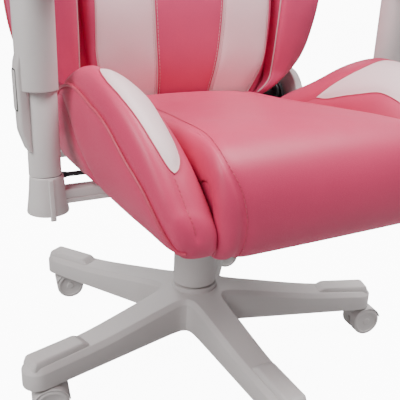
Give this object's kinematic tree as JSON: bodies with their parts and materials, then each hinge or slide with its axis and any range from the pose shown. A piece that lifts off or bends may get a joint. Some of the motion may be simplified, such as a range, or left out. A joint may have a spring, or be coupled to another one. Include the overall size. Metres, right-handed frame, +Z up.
{
  "type": "gaming chair",
  "caption": "High-backed swivel gaming chair with a bolstered seat, a reclining striped backrest with head pillow, height-adjustable armrests and a star base on casters.",
  "frame": {"origin": "on the floor, on the axis of the gas lift", "axes": "+Z up; the chair faces -Y; +X is to the left of the person sitting in it"},
  "size_m": [0.6931, 0.6605, 1.2936],
  "materials": {
    "white_plastic": "satin moulded nylon, fine spark texture",
    "seat_leather": "satin PU leather, fine grain, piped and stitched",
    "back_leather": "satin PU leather, fine grain, piped and stitched",
    "cream_leather": "satin PU leather in off-white and rose stripes",
    "black_steel": "black powder coat",
    "bright_steel": "ground steel",
    "black_plastic": "moulded black plastic",
    "arm_pad": "soft-touch polyurethane skin",
    "webbing": "woven elastic webbing"
  },
  "bodies": {
    "base": {"star_base": "white_plastic", "lift_outer_tube": "bright_steel", "guide_bush": "black_plastic", "cover_lower": "white_plastic"},
    "cover_ring": {"cover_middle": "white_plastic"},
    "piston": {"piston_rod": "bright_steel", "thrust_bearing": "bright_steel"},
    "chassis": {"lift_cylinder": "bright_steel", "cover_upper": "white_plastic", "mechanism_housing": "black_steel", "tilt_spring": "bright_steel", "tilt_pivot_pins": "bright_steel"},
    "knob": {"tension_knob": "black_plastic"},
    "lever": {"lift_lever": "black_steel"},
    "valve": {"valve_pin": "bright_steel"},
    "seat": {"seat_plate": "black_steel", "tilt_bolt": "bright_steel", "seat_bolts": "bright_steel", "seat_frame": "black_steel", "seat_webbing": "webbing", "seat_cushion": "seat_leather", "seat_bolster_left": "seat_leather", "seat_bolster_right": "seat_leather", "arm_bracket_left": "white_plastic", "arm_bracket_right": "white_plastic", "hinge_plate_left": "black_steel", "hinge_plate_right": "black_steel", "hinge_cover_left": "white_plastic", "hinge_cover_right": "white_plastic", "arm_post_left": "white_plastic", "arm_post_right": "white_plastic"},
    "recline_handle": {"recline_lever": "black_plastic"},
    "backrest": {"back_frame": "black_steel", "back_body": "back_leather", "back_pad": "cream_leather", "back_wing_left": "back_leather", "back_wing_right": "back_leather", "slot_bezels": "black_plastic", "head_pillow": "cream_leather", "head_strap": "webbing"},
    "sleeve_left": {"arm_sleeve_left": "white_plastic"},
    "button_left": {"arm_button_left": "white_plastic"},
    "carrier_left": {"arm_carrier_left": "black_plastic"},
    "pad_left": {"arm_pad_left": "arm_pad"},
    "sleeve_right": {"arm_sleeve_right": "white_plastic"},
    "button_right": {"arm_button_right": "white_plastic"},
    "carrier_right": {"arm_carrier_right": "black_plastic"},
    "pad_right": {"arm_pad_right": "arm_pad"},
    "caster_1": {"caster_housing_1": "white_plastic"},
    "wheels_1": {"caster_wheels_1": "white_plastic"},
    "caster_2": {"caster_housing_2": "white_plastic"},
    "wheels_2": {"caster_wheels_2": "white_plastic"},
    "caster_3": {"caster_housing_3": "white_plastic"},
    "wheels_3": {"caster_wheels_3": "white_plastic"},
    "caster_4": {"caster_housing_4": "white_plastic"},
    "wheels_4": {"caster_wheels_4": "white_plastic"},
    "caster_5": {"caster_housing_5": "white_plastic"},
    "wheels_5": {"caster_wheels_5": "white_plastic"}
  },
  "joints": [
    {"name": "lift_swivel", "type": "hinge", "parent": "base", "child": "piston", "pos_m": [0, 0, 0.05], "axis": [0, 0, 1], "continuous": true},
    {"name": "lift_height", "type": "slide", "parent": "piston", "child": "chassis", "axis": [0, 0, 1], "range_m": [0, 0.09]},
    {"name": "cover_telescope", "type": "slide", "parent": "base", "child": "cover_ring", "axis": [0, 0, 1], "range_m": [0, 0.045]},
    {"name": "lever_pull", "type": "hinge", "parent": "chassis", "child": "lever", "pos_m": [-0.044, 0.03, 0.338], "axis": [0, 1, 0], "range_deg": [0, 2], "stiffness_Nm_per_rad": 6, "springref_deg": -3.44},
    {"name": "valve_press", "type": "slide", "parent": "chassis", "child": "valve", "axis": [0, 0, -1], "range_m": [0, 0.0025]},
    {"name": "seat_tilt", "type": "hinge", "parent": "chassis", "child": "seat", "pos_m": [0, -0.06, 0.356], "axis": [-1, 0, 0], "range_deg": [0, 7], "stiffness_Nm_per_rad": 220, "springref_deg": -25.78, "deforming": ["tilt_spring"]},
    {"name": "tension_turn", "type": "hinge", "parent": "seat", "child": "knob", "pos_m": [0, -0.1, 0.25], "axis": [0, 0, 1], "continuous": true},
    {"name": "recline", "type": "hinge", "parent": "seat", "child": "backrest", "pos_m": [0, 0.118, 0.445], "axis": [-1, 0, 0], "range_deg": [0, 65]},
    {"name": "recline_release", "type": "hinge", "parent": "seat", "child": "recline_handle", "pos_m": [-0.274, 0.07, 0.425], "axis": [-1, 0, 0], "range_deg": [0, 30], "stiffness_Nm_per_rad": 0.8, "springref_deg": -20.05},
    {"name": "arm_height_left", "type": "slide", "parent": "seat", "child": "sleeve_left", "axis": [0, 0, 1], "range_m": [-0.03, 0.04]},
    {"name": "arm_button_press_left", "type": "slide", "parent": "sleeve_left", "child": "button_left", "axis": [-1, 0, 0], "range_m": [0, 0.003], "stiffness_N_per_m": 400, "springref_m": -0.002},
    {"name": "arm_pad_turn_left", "type": "hinge", "parent": "sleeve_left", "child": "carrier_left", "pos_m": [0.292, -0.118, 0.653], "axis": [0, 0, 1], "range_deg": [-20, 20]},
    {"name": "arm_pad_slide_left", "type": "slide", "parent": "carrier_left", "child": "pad_left", "axis": [0, 1, 0], "range_m": [-0.025, 0.025]},
    {"name": "arm_height_right", "type": "slide", "parent": "seat", "child": "sleeve_right", "axis": [0, 0, 1], "range_m": [-0.03, 0.04]},
    {"name": "arm_button_press_right", "type": "slide", "parent": "sleeve_right", "child": "button_right", "axis": [1, 0, 0], "range_m": [0, 0.003], "stiffness_N_per_m": 400, "springref_m": -0.002},
    {"name": "arm_pad_turn_right", "type": "hinge", "parent": "sleeve_right", "child": "carrier_right", "pos_m": [-0.292, -0.118, 0.653], "axis": [0, 0, 1], "range_deg": [-20, 20]},
    {"name": "arm_pad_slide_right", "type": "slide", "parent": "carrier_right", "child": "pad_right", "axis": [0, 1, 0], "range_m": [-0.025, 0.025]},
    {"name": "caster_swivel_1", "type": "hinge", "parent": "base", "child": "caster_1", "pos_m": [-0.17851, 0.27278, 0.07], "axis": [0, 0, 1], "continuous": true},
    {"name": "wheel_spin_1", "type": "hinge", "parent": "caster_1", "child": "wheels_1", "pos_m": [-0.16176, 0.26983, 0.0275], "axis": [0.1736, 0.9848, 0], "continuous": true},
    {"name": "caster_swivel_2", "type": "hinge", "parent": "base", "child": "caster_2", "pos_m": [-0.3146, -0.08547, 0.07], "axis": [0, 0, 1], "continuous": true},
    {"name": "wheel_spin_2", "type": "hinge", "parent": "caster_2", "child": "wheels_2", "pos_m": [-0.29785, -0.08843, 0.0275], "axis": [0.1736, 0.9848, 0], "continuous": true},
    {"name": "caster_swivel_3", "type": "hinge", "parent": "base", "child": "caster_3", "pos_m": [-0.01593, -0.32561, 0.07], "axis": [0, 0, 1], "continuous": true},
    {"name": "wheel_spin_3", "type": "hinge", "parent": "caster_3", "child": "wheels_3", "pos_m": [0.00082, -0.32856, 0.0275], "axis": [0.1736, 0.9848, 0], "continuous": true},
    {"name": "caster_swivel_4", "type": "hinge", "parent": "base", "child": "caster_4", "pos_m": [0.30475, -0.11577, 0.07], "axis": [0, 0, 1], "continuous": true},
    {"name": "wheel_spin_4", "type": "hinge", "parent": "caster_4", "child": "wheels_4", "pos_m": [0.32149, -0.11872, 0.0275], "axis": [0.1736, 0.9848, 0], "continuous": true},
    {"name": "caster_swivel_5", "type": "hinge", "parent": "base", "child": "caster_5", "pos_m": [0.20427, 0.25406, 0.07], "axis": [0, 0, 1], "continuous": true},
    {"name": "wheel_spin_5", "type": "hinge", "parent": "caster_5", "child": "wheels_5", "pos_m": [0.22101, 0.25111, 0.0275], "axis": [0.1736, 0.9848, 0], "continuous": true}
  ],
  "couplings": [
    {"joint": "cover_telescope", "follows": "lift_height", "ratio": 0.5},
    {"joint": "valve_press", "follows": "lever_pull", "m_per_rad": 0.0716}
  ]
}
